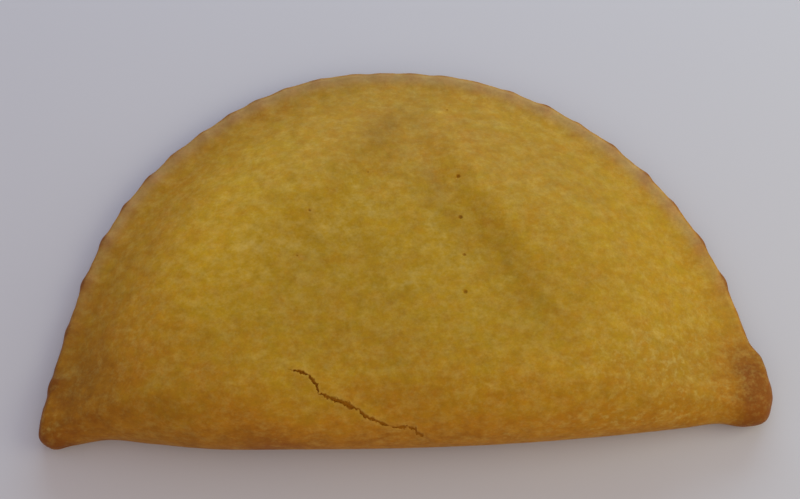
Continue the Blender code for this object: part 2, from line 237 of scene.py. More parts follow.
class PattyForm(bpy.types.PropertyGroup):
    """Sizes of the patty's main form."""

    rim_thickness: length("Rim thickness", "Thickness of the two pressed sheets", 4.6 * MM)
    rim_width: length("Rim width", "Width of the pressed rim", 6.0 * MM)
    rim_edge_height: length("Rim edge height", "Height of the seam over the table", 2.3 * MM)
    rim_rounding: length("Rim rounding", "Rounding of the rim's edge", 1.7 * MM)
    valley_depth: length("Valley depth", "Dip between the rim and the dome", 0.15 * MM)
    dome_height: length("Dome height", "Height of the filled dome over the rim", 16.2 * MM)
    dome_run: length("Dome run", "Distance over which the dome climbs", 46.0 * MM)
    dome_easing: length("Dome easing", "How softly the dome starts at the rim", 4.0 * MM)
    dome_fullness: FloatProperty(
        name="Dome fullness", description="How steeply the dome starts at the rim", default=2.3)
    dome_fullness_left: FloatProperty(
        name="Left fullness", description="How steeply it starts on the left", default=3.4)
    fold_edge_height: length("Fold edge height", "Height of the fold's outermost line", 6.8 * MM)
    fold_top_rounding: length("Fold top rounding", "Rounding of the fold above", 13.5 * MM)
    fold_under_rounding: length("Fold under rounding", "Rounding of the fold below", 5.0 * MM)
    corner_swell: length("Corner swell", "Extra height of dough at the corners", 2.6 * MM)
    corner_swell_size: length("Corner swell size", "Reach of the corner lumps", 9.0 * MM)
    seam_depth: length("Seam depth", "Depth of the line between the sheets", 0.45 * MM)
    seam_half_height: length("Seam half height", "Half the height of that line", 0.4 * MM)
    seam_wander: length("Seam wander", "How far that line wanders up and down", 0.4 * MM)
    seam_wander_size: length("Wander size", "Length of its bends", 7.0 * MM)
    sag_depth: length("Sag depth", "How far the upper middle has sunk", 2.0 * MM)
    sag_left_slope: length("Left slope", "Width of the left slope of the sag", 10.0 * MM)
    sag_right_slope: length("Right slope", "Width of the right slope of the sag", 9.0 * MM)
    segments: IntProperty(
        name="Segments", description="Points round the outline", default=1000, min=64)
    top_rings: IntProperty(
        name="Top rings", description="Rings from the rim to the middle of the top", default=140, min=12)
    under_rings: IntProperty(
        name="Under rings", description="Rings from the rim to the middle of the underside",
        default=30, min=6)


class CrimpForm(bpy.types.PropertyGroup):
    """Sizes of the crimps round the arc."""

    pitch: FloatProperty(
        name="Pitch", description="Smallest angle between two crimps, in degrees", default=5.52)
    pad: length("Pad width", "Half width of a raised pad", 1.9 * MM)
    raised: length("Raise", "Height of a pad over the pressed places", 0.3 * MM)
    press: length("Press", "How far the rim is pressed down", 0.1 * MM)
    reach: length("Reach", "How far a pad stands out of the rim", 0.32 * MM)
    slant: FloatProperty(
        name="Slant", description="Sideways run of a crimp for each step inwards", default=0.3)


class ReliefForm(bpy.types.PropertyGroup):
    """Heights and sizes of the uneven surface."""

    lump_height: length("Lump height", "Height of the soft lumps of the dome", 0.36 * MM)
    lump_size: length("Lump size", "Size of those lumps", 14.0 * MM)
    ripple_height: length("Ripple height", "Height of the ripples of the crust", 0.13 * MM)
    ripple_size: length("Ripple size", "Size of those ripples", 5.0 * MM)
    blister_height: length("Blister height", "Height of the small blisters", 0.06 * MM)
    blister_size: length("Blister size", "Size of those blisters", 1.9 * MM)


class CrackForm(bpy.types.PropertyGroup):
    """Sizes of the crack and of the steam holes."""

    depth: length("Depth", "Depth of the crack where it is widest", 0.5 * MM)
    raggedness: length("Raggedness", "How far the torn edges wander", 0.26 * MM)
    ragged_size: length("Ragged size", "Size of the tears along the edges", 0.7 * MM)
    unlikeness: factor("Unlikeness", "How unevenly the crack has opened", 0.5)
    lip_height: length("Lip height", "How far the torn edges have lifted", 0.22 * MM)
    lip_width: length("Lip width", "Width of the lifted edges", 1.6 * MM)
    vent_radius: length("Vent radius", "Radius of a steam hole", 0.47 * MM)
    vent_depth: length("Vent depth", "Depth of a steam hole", 0.35 * MM)
    # A steam hole takes this share of the torn colour: partly torn pastry, partly painted shade of its
    # depth.
    vent_shade: factor("Vent shade", "How far a steam hole has the torn colour", 0.4)
    vent_halo: length("Vent halo", "Reach of the browning round a steam hole", 0.7 * MM)


class CrustFinish(bpy.types.PropertyGroup):
    """Colours and gloss of the baked pastry."""

    pale: colour("Pale", "Pale flecks", (0.56, 0.38, 0.08))
    golden: colour("Golden", "Turmeric-yellow crust", (0.445, 0.257, 0.009))
    amber: colour("Amber", "Crust that has started to brown", (0.435, 0.184, 0.008))
    brown: colour("Brown", "Well browned crust", (0.26, 0.082, 0.006))
    # This colour is a painted sheen: the pale, greyish look that light from behind gives the far rim.
    rim_sheen_colour: colour("Dry", "Dry, floury pastry along the rim", (0.4, 0.28, 0.15))
    # The torn colour is partly torn pastry and partly painted shade: it darkens the shallow crack and the
    # steam holes as their depth would.
    torn: colour("Torn", "Torn pastry inside the crack", (0.3, 0.11, 0.0))
    roughness: factor("Roughness", "Roughness of the crust", 0.55)
    gloss: factor("Gloss", "Strength of the crust's reflections, half for plain plastic", 0.1)
    mottling: factor("Mottling", "How much yellow and amber spots differ", 0.65)
    graininess: factor("Graininess", "How much light and dark grains differ", 0.72)
    grain_height: length("Grain height", "Height of the finest grain", 0.05 * MM)


class StageSettings(bpy.types.PropertyGroup):
    """Floor, light and viewing angle."""

    floor_colour: colour("Floor colour", "Plain pale floor", (0.6, 0.6, 0.6))
    azimuth: FloatProperty(
        name="Azimuth", description="Turn of the camera round the patty, in degrees", default=-1.9)
    elevation: FloatProperty(
        name="Elevation", description="Angle of the camera over the table, in degrees", default=74.0)
    distance: length("Distance", "Distance of the camera", 0.33)
    view_width: length("View width", "Width of the table that the picture shows", 0.181)
    aim_across: length("Aim across", "X of the table point in the middle of the picture", -0.2 * MM)
    aim: length("Aim", "Y of the table point in the middle of the picture", 2.1 * MM)
    lamp_power: FloatProperty(
        name="Lamp power", description="Power of the soft lights", default=1.0, unit="POWER")
    sky_strength: FloatProperty(
        name="Sky strength", description="Strength of the light from all round", default=0.47)


def outline_knots():
    """The few points that the plan passes through, anticlockwise from the right end of the arc."""
    angles = np.linspace(ARC_START, ARC_END, ARC_KNOTS)
    sway = ARC_SWAY * np.cos(3.0 * (angles - ARC_SWAY_PEAK))
    for place, spread, depth in ARC_FLATS:
        sway -= depth * bell(np.degrees(angles) - place, spread)
    arc = np.column_stack((
        ARC_CENTRE[0] + (ARC_HALF_WIDTH + sway) * np.cos(angles),
        ARC_CENTRE[1] + (ARC_DEPTH + sway) * np.sin(angles),
    ))
    straight = np.array(LEFT_CORNER + FOLD_LINE + RIGHT_CORNER) * MM
    return np.vstack((arc, straight))


def smooth_loop(knots, count):
    """A closed smooth curve through the knots, as points at equal distances along it."""
    after = np.roll(knots, -1, axis=0)
    gap = np.linalg.norm(after - knots, axis=1)
    gap_before = np.roll(gap, 1)
    slope = (after - knots) / gap[:, None]
    slope_before = np.roll(slope, 1, axis=0)
    tangent = (slope * gap_before[:, None] + slope_before * gap[:, None]) / (gap + gap_before)[:, None]
    tangent_after = np.roll(tangent, -1, axis=0)
    run = np.linspace(0.0, 1.0, CURVE_STEPS, endpoint=False)[None, :, None]
    span = gap[:, None, None]
    dense = (
        (2 * run ** 3 - 3 * run ** 2 + 1) * knots[:, None]
        + (run ** 3 - 2 * run ** 2 + run) * span * tangent[:, None]
        + (3 * run ** 2 - 2 * run ** 3) * after[:, None]
        + (run ** 3 - run ** 2) * span * tangent_after[:, None]
    ).reshape(-1, 2)
    steps = np.linalg.norm(np.roll(dense, -1, axis=0) - dense, axis=1)
    along = np.concatenate(([0.0], np.cumsum(steps)))
    closed = np.vstack((dense, dense[:1]))
    wanted = np.linspace(0.0, along[-1], count, endpoint=False)
    return np.column_stack([np.interp(wanted, along, closed[:, axis]) for axis in (0, 1)])


def outward_normals(loop):
    """Unit normals of an anticlockwise loop, pointing out of it."""
    run = np.roll(loop, -1, axis=0) - np.roll(loop, 1, axis=0)
    run /= np.linalg.norm(run, axis=1)[:, None]
    return np.column_stack((run[:, 1], -run[:, 0]))


def fold_shares(edge, normals):
    """How much of the fat folded edge each place of the outline has: 0 on the arc, 1 mid fold."""
    facing = smoothstep(FOLD_FACING[0], FOLD_FACING[1], -normals[:, 1])
    return facing * (1.0 - np.abs(edge[:, 0] / FOLD_REACH) ** FOLD_TAPER).clip(FOLD_LEAST, 1.0)


def seam_share(fold):
    """How much of the arc's seam each place of the outline has: 1 on the arc, 0 on the fold."""
    return 1.0 - smoothstep(0.0, SEAM_END, fold)


class Outline:
    """The patty's plan, and how far inside it any point of the table is."""

    def __init__(self):
        self.loop = smooth_loop(outline_knots(), OUTLINE_SAMPLES)
        self.outward = outward_normals(self.loop)
        self.fold = fold_shares(self.loop, self.outward)
        self.tree = kdtree.KDTree(OUTLINE_SAMPLES)
        for index, (x, y) in enumerate(self.loop):
            self.tree.insert((x, y, 0.0), index)
        self.tree.balance()

    def nearest(self, points):
        """Distance of each point from the outline, and the fold share of the outline there."""
        found = [self.tree.find((point[0], point[1], 0.0)) for point in points]
        distance = np.array([hit[2] for hit in found])
        return distance, self.fold[np.array([hit[1] for hit in found])]


def crimp_places(pitch):
    """Angle and strength of each pad, from the right corner round to the left one."""
    draw = random.Random(CRIMP_SEED)
    places = []
    angle = CRIMP_FIRST
    while angle < CRIMP_LAST:
        strength = CRIMP_FAINT_STRENGTH + CRIMP_STRENGTH_GAIN * (angle - CRIMP_FAINTEST) ** 2
        strength = min(strength, CRIMP_FULL_STRENGTH)
        strength *= draw.uniform(1.0 - CRIMP_UNLIKENESS, 1.0 + CRIMP_UNLIKENESS)
        places.append((math.radians(angle), strength))
        away = angle - CRIMP_TIGHTEST
        spread = CRIMP_SPREAD_LEFT if away > 0 else CRIMP_SPREAD_RIGHT
        angle += pitch + spread * away * away + draw.uniform(-CRIMP_SHAKE, CRIMP_SHAKE)
    return places


def arc_place(points):
    """Distance inwards from the ellipse of the arc, and angle round its centre from the right."""
    x = (points[:, 0] - ARC_CENTRE[0]) / ARC_HALF_WIDTH
    y = (points[:, 1] - ARC_CENTRE[1]) / ARC_DEPTH
    angle = np.mod(np.arctan2(y, x) + math.pi / 2, 2 * math.pi) - math.pi / 2
    return (1.0 - np.hypot(x, y)) * ARC_HALF_WIDTH, angle


def crimp_pads(points, inset, form, crimps):
    """0 in the pressed places and about 1 on a pad, fading out where the dome starts."""
    angle = arc_place(points)[1]
    pads = np.zeros(len(points))
    for place, strength in crimp_places(crimps.pitch):
        away = (angle - place) * ARC_HALF_WIDTH + crimps.slant * inset
        pads += strength * bell(away, crimps.pad)
    return pads * (1.0 - smoothstep(PAD_FADE[0] * form.rim_width, PAD_FADE[1] * form.rim_width, inset))


def sag(points, form):
    """How far the upper middle has sunk: fully between the two slopes, not at all outside them."""
    across = points - np.array(SAG_PEAK)
    left = across @ np.array((-math.sin(SAG_LEFT_ARM), math.cos(SAG_LEFT_ARM)))
    right = across @ np.array((math.sin(SAG_RIGHT_ARM), -math.cos(SAG_RIGHT_ARM)))
    inside = smoothstep(-0.5, 0.5, left / form.sag_left_slope)
    inside = inside * smoothstep(-0.5, 0.5, right / form.sag_right_slope)
    return form.sag_depth * inside * smoothstep(SAG_FADE[0], SAG_FADE[1], points[:, 1])


def top_height(points, form):
    """Height of the top sheet over the plan, before its edge is rounded off."""
    from_arc, angle = arc_place(points)
    inwards = from_arc - form.rim_width
    eased = (inwards + np.hypot(inwards, form.dome_easing)) / 2
    climb = np.clip(eased / form.dome_run, 0.0, 1.0)
    left = smoothstep(DOME_LEFT_FROM, DOME_LEFT_TO, angle)
    fullness = form.dome_fullness + left * (form.dome_fullness_left - form.dome_fullness)
    height = form.rim_thickness + form.dome_height * (1.0 - (1.0 - climb) ** fullness)
    height -= form.valley_depth * bell(inwards, VALLEY_HALF_WIDTH * form.rim_width)
    for place in CORNER_SWELLS:
        height += form.corner_swell * bell(np.linalg.norm(points - place, axis=1), form.corner_swell_size)
    for across, up, half_length, half_width, turn, depth in DENTS:
        along = (points[:, 0] - across) * math.cos(turn) + (points[:, 1] - up) * math.sin(turn)
        aside = (points[:, 1] - up) * math.cos(turn) - (points[:, 0] - across) * math.sin(turn)
        height -= depth * bell(along, half_length) * bell(aside, half_width)
    return height - sag(points, form)


def ring_list(form):
    """Side (1 top, 0 seam, -1 underside), reach towards the middle and seam level, top first."""
    top = [
        (1, (step / form.top_rings) ** TOP_CROWDING, 1.0) for step in range(form.top_rings, -1, -1)
    ]
    seam = [(0, 0.0, level) for level in SEAM_LEVELS]
    under = [
        (-1, (step / form.under_rings) ** UNDER_CROWDING, -1.0) for step in range(form.under_rings + 1)
    ]
    return top + seam + under


def crust_rings(outline, form, crimps):
    """Points of every ring, from the middle of the top, out over the rim and under."""
    places = np.linspace(0, OUTLINE_SAMPLES, form.segments, endpoint=False).astype(int)
    edge, outward, fold = outline.loop[places], outline.outward[places], outline.fold[places]
    edge_height = form.rim_edge_height + fold * (form.fold_edge_height - form.rim_edge_height)
    top_rounding = form.rim_rounding + fold * (form.fold_top_rounding - form.rim_rounding)
    under_rounding = form.rim_rounding + fold * (form.fold_under_rounding - form.rim_rounding)
    seam = seam_share(fold)
    level_edge = np.column_stack((edge, np.zeros(len(edge))))
    wander = form.seam_wander * unevenness(level_edge, form.seam_wander_size, 2.0, SEAM_NOISE) * seam
    centre = np.array(LATHE_CENTRE)
    press_start, press_end = (share * form.rim_width for share in PRESS_FADE)
    surface = []
    for side, reach, level in ring_list(form):
        pull = 1.0 - reach * (SIDE_PULL + (1.0 - SIDE_PULL) * reach)
        plan = centre + (edge - centre) * np.array((pull, 1.0 - reach))
        inset = outline.nearest(plan)[0]
        pads = crimp_pads(plan, inset, form, crimps) * seam
        lip = edge_height + wander + level * form.seam_half_height
        if side > 0:
            pressed = seam * (1.0 - smoothstep(press_start, press_end, inset))
            crown = top_height(plan, form) + crimps.raised * pads - crimps.press * pressed
            height = lip + (crown - lip) * quarter_round(inset / top_rounding)
        elif side < 0:
            height = lip * (1.0 - quarter_round(inset / under_rounding))
        else:
            plan = plan - outward * (form.seam_depth * (1.0 - abs(level)) * seam)[:, None]
            height = lip
        fade = 1.0 - smoothstep(0.0, form.rim_width, inset)
        plan = plan + outward * (crimps.reach * pads * fade)[:, None]
        surface.append(np.column_stack((plan, height)))
    return np.array(surface)


def mesh_points(mesh):
    """The mesh's points as rows."""
    points = np.empty(len(mesh.vertices) * 3)
    mesh.vertices.foreach_get("co", points)
    return points.reshape(-1, 3)


def move_points(mesh, points):
    """Moves the mesh's points to the given rows."""
    mesh.vertices.foreach_set("co", points.ravel())
    mesh.update()


def mesh_normals(mesh):
    """The mesh's vertex normals as rows."""
    normals = np.empty(len(mesh.vertices) * 3)
    mesh.vertex_normals.foreach_get("vector", normals)
    return normals.reshape(-1, 3)


def drawn_out_drum(surface):
    """A closed drum of unit size whose rings are moved onto the given rings of points."""
    rings, segments = surface.shape[:2]
    drum = bmesh.new()
    bmesh.ops.create_cone(
        drum, cap_ends=True, cap_tris=True, segments=segments, radius1=1.0, radius2=1.0, depth=2.0)
    upright = [edge for edge in drum.edges if abs(edge.verts[0].co.z - edge.verts[1].co.z) > 1.0]
    # The first and last rings are the hubs of the caps, and the next to them the drum's two ends.
    bmesh.ops.subdivide_edges(drum, edges=upright, cuts=rings - 4, use_grid_fill=True)
    bmesh.ops.recalc_face_normals(drum, faces=drum.faces)
    mesh = bpy.data.meshes.new(CRUST)
    drum.to_mesh(mesh)
    drum.free()
    points = mesh_points(mesh)
    ring = np.rint((1.0 - points[:, 2]) / 2.0 * (rings - 3)).astype(int) + 1
    hub = np.hypot(points[:, 0], points[:, 1]) < 0.5
    ring = np.where(hub, np.where(points[:, 2] > 0.0, 0, rings - 1), ring)
    turn = np.rint(np.arctan2(points[:, 1], points[:, 0]) / (2 * math.pi) * segments).astype(int)
    move_points(mesh, surface[ring, turn % segments])
    return mesh


def unevenness(points, size, octaves, offset):
    """Smooth noise of the given size, about -1 to 1, at each point."""
    shift = Vector((offset, 0.0, 0.0))
    return np.array([
        noise.fractal(Vector(point) + shift, OCTAVE_FADE, OCTAVE_STEP, octaves)
        for point in points / size
    ])


def polyline_place(points, route):
    """Distance of plan points from a polyline, place along it in stations, and side of it."""
    distance = np.full(len(points), np.inf)
    station = np.zeros(len(points))
    side = np.zeros(len(points))
    for number, (start, end) in enumerate(zip(route[:-1], route[1:])):
        run = end - start
        along = np.clip(((points - start) @ run) / (run @ run), 0.0, 1.0)
        away = points - start - along[:, None] * run
        from_run = np.linalg.norm(away, axis=1)
        nearer = from_run < distance
        distance = np.where(nearer, from_run, distance)
        station = np.where(nearer, number + along, station)
        side = np.where(nearer, np.sign(run[0] * away[:, 1] - run[1] * away[:, 0]), side)
    return distance, station, side


def vent_distance(points, across, up):
    """Distance in plan of each point from a steam hole, whose place is given in mm."""
    return np.linalg.norm(points[:, :2] - np.array((across, up)) * MM, axis=1)


def refine_near_openings(mesh):
    """Cuts the faces of the top finer near the crack and the vents, nearest most."""
    for reach in REFINE_REACH:
        points = mesh_points(mesh)
        near = polyline_place(points[:, :2], CRACK_ROUTE)[0] < reach
        for across, up, _ in VENTS:
            near |= vent_distance(points, across, up) < VENT_REFINE * reach
        near &= points[:, 2] > TOP_LEVEL
        fine = bmesh.new()
        fine.from_mesh(mesh)
        fine.verts.ensure_lookup_table()
        edges = {
            edge for index in np.flatnonzero(near) for face in fine.verts[int(index)].link_faces
            for edge in face.edges
        }
        ordered = sorted(edges, key=lambda edge: edge.index)
        bmesh.ops.subdivide_edges(fine, edges=ordered, cuts=1, use_grid_fill=True)
        bmesh.ops.triangulate(fine, faces=[face for face in fine.faces if len(face.verts) > 4])
        fine.to_mesh(mesh)
        fine.free()
    mesh.update()


def crust_object():
    """The crust that the first operator has made."""
    crust = bpy.data.objects.get(CRUST)
    if crust is None:
        raise RuntimeError("Shape the crust first")
    return crust


def store(mesh, name, values):
    """Keeps one number for each of the mesh's points, for the material."""
    layer = mesh.attributes.new(name, "FLOAT", "POINT")
    layer.data.foreach_set("value", values.astype(np.float32))


class PATTY_OT_shape_crust(bpy.types.Operator):
    """Shapes the folded and crimped crust, with its soft lumps, ripples and blisters"""

    bl_idname = "patty.shape_crust"
    bl_label = "Shape Crust"

    def execute(self, context):
        scene = context.scene
        form, relief = scene.patty_form, scene.patty_relief
        outline = Outline()
        mesh = drawn_out_drum(crust_rings(outline, form, scene.patty_crimps))
        refine_near_openings(mesh)
        points = mesh_points(mesh)
        normals = mesh_normals(mesh)
        inset = outline.nearest(points)[0]
        inner = smoothstep(LUMP_START[0] * form.rim_width, LUMP_START[1] * form.rim_width, inset)
        move = relief.lump_height * unevenness(points, relief.lump_size, 1.0, LUMP_NOISE) * inner
        move += relief.ripple_height * unevenness(points, relief.ripple_size, 2.0, RIPPLE_NOISE)
        move += relief.blister_height * unevenness(points, relief.blister_size, 2.0, BLISTER_NOISE)
        above = smoothstep(UNEVEN_FACING[0], UNEVEN_FACING[1], normals[:, 2])
        points += normals * (move * above)[:, None]
        points[:, 2] = np.maximum(points[:, 2], 0.0)
        move_points(mesh, points)
        mesh.shade_smooth()
        crust = bpy.data.objects.new(CRUST, mesh)
        context.scene.collection.objects.link(crust)
        middle = (points.min(axis=0) + points.max(axis=0)) / 2
        crust.location = (-middle[0], -middle[1], 0.0)
        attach(crust, "root")
        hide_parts(NODE)
        return {"FINISHED"}


def crack_section(near, crack):
    """For points near the crack: share inside it, share on its pale lips, and change of height."""
    flat = near * (1.0, 1.0, 0.0)
    wander = np.column_stack([
        unevenness(flat, crack.ragged_size, 2.0, offset) for offset in TEAR_NOISE
    ])
    distance, station, side = polyline_place(near[:, :2] + crack.raggedness * wander, CRACK_ROUTE)
    opening = np.interp(station, np.arange(len(CRACK)), CRACK_OPENING) / 2
    opening *= 1.0 + crack.unlikeness * unevenness(
        flat, OPENING_TEARS * crack.ragged_size, 1.0, OPENING_NOISE)
    wall_start, wall_end = CRACK_WALL[0] * opening, CRACK_WALL[1] * opening + WALL_WIDTH
    inside = 1.0 - smoothstep(wall_start, wall_end, distance)
    inside *= smoothstep(CRACK_SHUT[0], CRACK_SHUT[1], opening)
    lips = bell(distance - opening, PALE_LIP * crack.lip_width) * (1.0 - inside)
    depth = crack.depth * (opening / (CRACK_OPENING.max() / 2)) ** CRACK_DEEPENING
    side_lift = np.where(side > 0, 1.0, FOLD_SIDE_LIFT)
    lift = side_lift * crack.lip_height * bell(distance, crack.lip_width)
    return inside, lips, lift - depth * inside


class PATTY_OT_open_crust(bpy.types.Operator):
    """Opens the crack along the fold and pricks the steam holes"""

    bl_idname = "patty.open_crust"
    bl_label = "Open Crack and Vents"

    def execute(self, context):
        crack = context.scene.patty_crack
        mesh = crust_object().data
        points = mesh_points(mesh)
        close = polyline_place(points[:, :2], CRACK_ROUTE)[0] < CRACK_REACH * crack.lip_width
        close &= mesh_normals(mesh)[:, 2] > CRACK_FACING
        # The torn share gives the crack and the holes the torn colour: partly torn pastry, partly painted
        # shade of their depth.
        torn = np.zeros(len(points))
        lips = np.zeros(len(points))
        torn[close], lips[close], rise = crack_section(points[close], crack)
        points[close, 2] += rise
        for across, up, size in VENTS:
            away = vent_distance(points, across, up) / (size * crack.vent_radius)
            hole = size * (1.0 - smoothstep(VENT_WALL[0], VENT_WALL[1], away))
            hole *= points[:, 2] > TOP_LEVEL
            points[:, 2] -= crack.vent_depth * hole
            torn = np.maximum(torn, crack.vent_shade * hole)
        move_points(mesh, points)
        store(mesh, "torn", torn)
        store(mesh, "lips", lips)
        return {"FINISHED"}


# Patches in mm and degrees: place, half length, half width, turn, strength. Here the crust is browner,
# or less brown where negative. A program fitted the first twelve rows to the difference in hue between
# a photograph and a render, and some were changed since. The last two were placed one by one.
BROWN_PATCHES = (
    (76.0, 6.5, 12.0, 7.0, -58.0, 0.52),
    (76.0, 7.0, 13.0, 4.0, -80.0, 0.52),
    (-73.0, 9.0, 26.0, 12.0, 40.0, 0.52),
    (-52.0, 50.0, 30.0, 7.0, 54.0, 0.28),
    (-2.0, 69.0, 26.0, 8.0, -13.0, 0.18),
    (-13.0, 39.0, 30.0, 15.0, -9.0, -0.23),
    (-40.0, 28.0, 14.0, 7.0, 45.0, -0.17),
    (-15.0, 35.0, 13.0, 5.0, 25.0, 0.12),
    (14.0, 24.0, 15.0, 5.0, -76.0, -0.11),
    (-31.0, 1.6, 27.0, 6.0, -44.0, 0.33),
    (-28.0, 5.0, 18.0, 6.0, -5.0, -0.26),
    (36.0, -4.0, 30.0, 15.0, 3.0, -0.17),
    (-20.8, 36.6, 1.4, 0.9, -30.0, 0.4),
    (8.0, 54.5, 6.5, 1.8, -69.0, 0.2),
)

# Here the crust is lighter, or darker where negative. A program fitted the first sixteen rows to the
# difference in brightness between a photograph and a render, so they hold some of the photograph's
# shading too. The last four were placed one by one.
# Most rows are painted shade and highlights: darker in the grooves of the sag, the sunken middle and the
# left end, lighter on the left ridge, the right plateau and along the fold. The small pale spot is the
# crust's own tone.
PAINTED_SHADE_AND_TONE_PATCHES = (
    (12.0, 45.0, 27.0, 4.4, -55.0, -0.12),
    (27.0, 22.0, 21.0, 7.0, 37.0, -0.08),
    (35.0, 58.0, 30.0, 7.0, -37.0, -0.08),
    (-3.0, 66.0, 19.0, 5.0, 49.0, -0.16),
    (-24.0, 77.0, 30.0, 7.0, 23.0, -0.15),
    (-39.0, 43.0, 30.0, 11.0, 53.0, 0.14),
    (-45.0, 39.0, 30.0, 8.0, 62.0, 0.15),
    (-22.0, 32.0, 22.0, 7.0, -70.0, -0.1),
    (-2.0, 21.0, 20.0, 9.0, -75.0, -0.12),
    (-65.0, 20.0, 30.0, 26.0, -54.0, -0.15),
    (-67.0, 13.0, 28.0, 6.0, -32.0, -0.11),
    (-58.0, 20.0, 18.0, 5.0, 92.0, 0.08),
    (-11.0, -1.0, 27.0, 10.0, -8.0, 0.13),
    (34.0, 0.0, 26.0, 12.0, -26.0, 0.1),
    (68.0, 47.0, 29.0, 16.0, 56.0, 0.06),
    (68.0, 14.0, 22.0, 6.0, 15.0, -0.13),
    (10.5, 72.2, 0.9, 0.7, 0.0, 0.15),
    (9.5, 51.0, 6.0, 2.2, -69.0, -0.07),
    (22.8, 38.5, 9.0, 2.5, -65.0, -0.08),
    (-1.0, 68.5, 5.5, 2.5, 45.0, -0.06),
)

# Here pale flecks are strewn most densely.
FLECK_PATCHES = (
    (55.0, 12.0, 17.0, 12.0, -8.0, 0.85),
    (18.0, 6.0, 14.0, 5.0, 0.0, 0.3),
    (46.0, 0.8, 15.0, 2.0, 4.0, 0.6),
    (21.5, -1.6, 2.0, 1.3, 0.0, 0.8),
    (-75.5, 3.0, 3.0, 2.2, 0.0, 0.5),
)
FLECKS_ELSEWHERE = 0.1

# Browning along the edge: strength and reach on the pads, on the whole edge and on the seam.
PAD_BROWNING = (0.5, 2.6 * MM)
EDGE_BROWNING = (0.12, 5.0 * MM)
SEAM_BROWNING = (0.5, 0.8 * MM)

# Browning of the fold: strength, and how far up the patty it is full and has ended.
FOLD_BROWNINGS = ((0.33, -2.0 * MM, 22.0 * MM), (0.2, -2.5 * MM, 3.0 * MM))

# Browning round a full steam hole, and of the underside, over this downward facing.
VENT_BROWNING = 0.15
UNDER_BROWNING = 0.45
UNDER_FACING = (0.2, 0.9)

# The pale, greyish band along the rim is a painted sheen, where light from behind glances off the
# far rim: strength, distance from the edge and reach. It sets in over RIM_SHEEN_START from the edge,
# and over RIM_SHEEN_ARC up the patty.
RIM_SHEEN_STRENGTH = 0.4
RIM_SHEEN_PLACE = 1.7 * MM
RIM_SHEEN_REACH = 1.9 * MM
RIM_SHEEN_START = (0.2 * MM, 1.2 * MM)
RIM_SHEEN_ARC = (12.0 * MM, 60.0 * MM)


def patch_sum(points, patches):
    """The sum of soft patches at each point."""
    total = np.zeros(len(points))
    for across, up, half_length, half_width, degrees, strength in patches:
        turn = math.radians(degrees)
        x, y = points[:, 0] / MM - across, points[:, 1] / MM - up
        along = x * math.cos(turn) + y * math.sin(turn)
        aside = y * math.cos(turn) - x * math.sin(turn)
        total += strength * bell(along, half_length) * bell(aside, half_width)
    return total


def browning(points, outline, form, crimps, halo):
    """How brown the oven has made each point: 0 hardly, and about 1 well browned."""
    plan = points[:, :2]
    inset, fold = outline.nearest(points)
    seam = seam_share(fold)
    pads = crimp_pads(plan, inset, form, crimps) * seam
    pad_strength, pad_reach = PAD_BROWNING
    edge_strength, edge_reach = EDGE_BROWNING
    seam_strength, seam_reach = SEAM_BROWNING
    level = pad_strength * pads * bell(inset, pad_reach)
    level += edge_strength * bell(inset, edge_reach) + seam_strength * seam * bell(inset, seam_reach)
    for strength, full, ended in FOLD_BROWNINGS:
        level += strength * (1.0 - smoothstep(full, ended, plan[:, 1]))
    for across, up, size in VENTS:
        level += VENT_BROWNING * size * bell(vent_distance(points, across, up), halo)
    return level + patch_sum(points, BROWN_PATCHES)


def rim_sheen_share(points, outline):
    """How strongly the rim has its painted sheen at each point: not on the fold, and fully near the arc's
    top.
    """
    inset, fold = outline.nearest(points)
    band = bell(inset - RIM_SHEEN_PLACE, RIM_SHEEN_REACH) * seam_share(fold)
    band *= smoothstep(RIM_SHEEN_START[0], RIM_SHEEN_START[1], inset)
    return RIM_SHEEN_STRENGTH * (band * smoothstep(RIM_SHEEN_ARC[0], RIM_SHEEN_ARC[1], points[:, 1]))


def link(tree, source, target):
    """Joins a node's output to another node's input."""
    tree.links.new(source, target)


def value_node(tree, operation, first, second):
    """A sum or product of two values, each a socket or a number."""
    node = tree.nodes.new("ShaderNodeMath")
    node.operation = operation
    for socket, value in zip(node.inputs, (first, second)):
        if isinstance(value, (int, float)):
            socket.default_value = value
        else:
            link(tree, value, socket)
    return node.outputs["Value"]


def scaled_and_shifted(tree, value, factor, shift):
    """The value times a factor, plus a shift."""
    result = value_node(tree, "MULTIPLY_ADD", value, factor)
    result.node.inputs[2].default_value = shift
    return result


def noise_node(tree, place, size, detail, roughness=0.6):
    """Noise whose patches have the given size in metres."""
    node = tree.nodes.new("ShaderNodeTexNoise")
    node.inputs["Scale"].default_value = 1.0 / size
    node.inputs["Detail"].default_value = detail
    node.inputs["Roughness"].default_value = roughness
    link(tree, place, node.inputs["Vector"])
    return node.outputs["Fac"]


def stretched(tree, place, factors):
    """The place scaled on each axis, for noise that is drawn out along the others."""
    node = tree.nodes.new("ShaderNodeVectorMath")
    node.operation = "MULTIPLY"
    link(tree, place, node.inputs[0])
    node.inputs[1].default_value = factors
    return node.outputs["Vector"]


def attribute_node(tree, name):
    """Reads a number that is stored with the mesh's points."""
    node = tree.nodes.new("ShaderNodeAttribute")
    node.attribute_name = name
    return node.outputs["Fac"]


def ramp_node(tree, level, stops):
    """Turns a value into a colour by stops of place and colour."""
    node = tree.nodes.new("ShaderNodeValToRGB")
    elements = node.color_ramp.elements
    while len(elements) < len(stops):
        elements.new(0.5)
    for element, (place, tone) in zip(elements, stops):
        element.position = place
        element.color = (*tone, 1.0)
    link(tree, level, node.inputs["Fac"])
    return node.outputs["Color"]


def share_ramp(tree, level, stops):
    """Turns a value into a share by stops of place and share."""
    return ramp_node(tree, level, [(place, (share, share, share)) for place, share in stops])


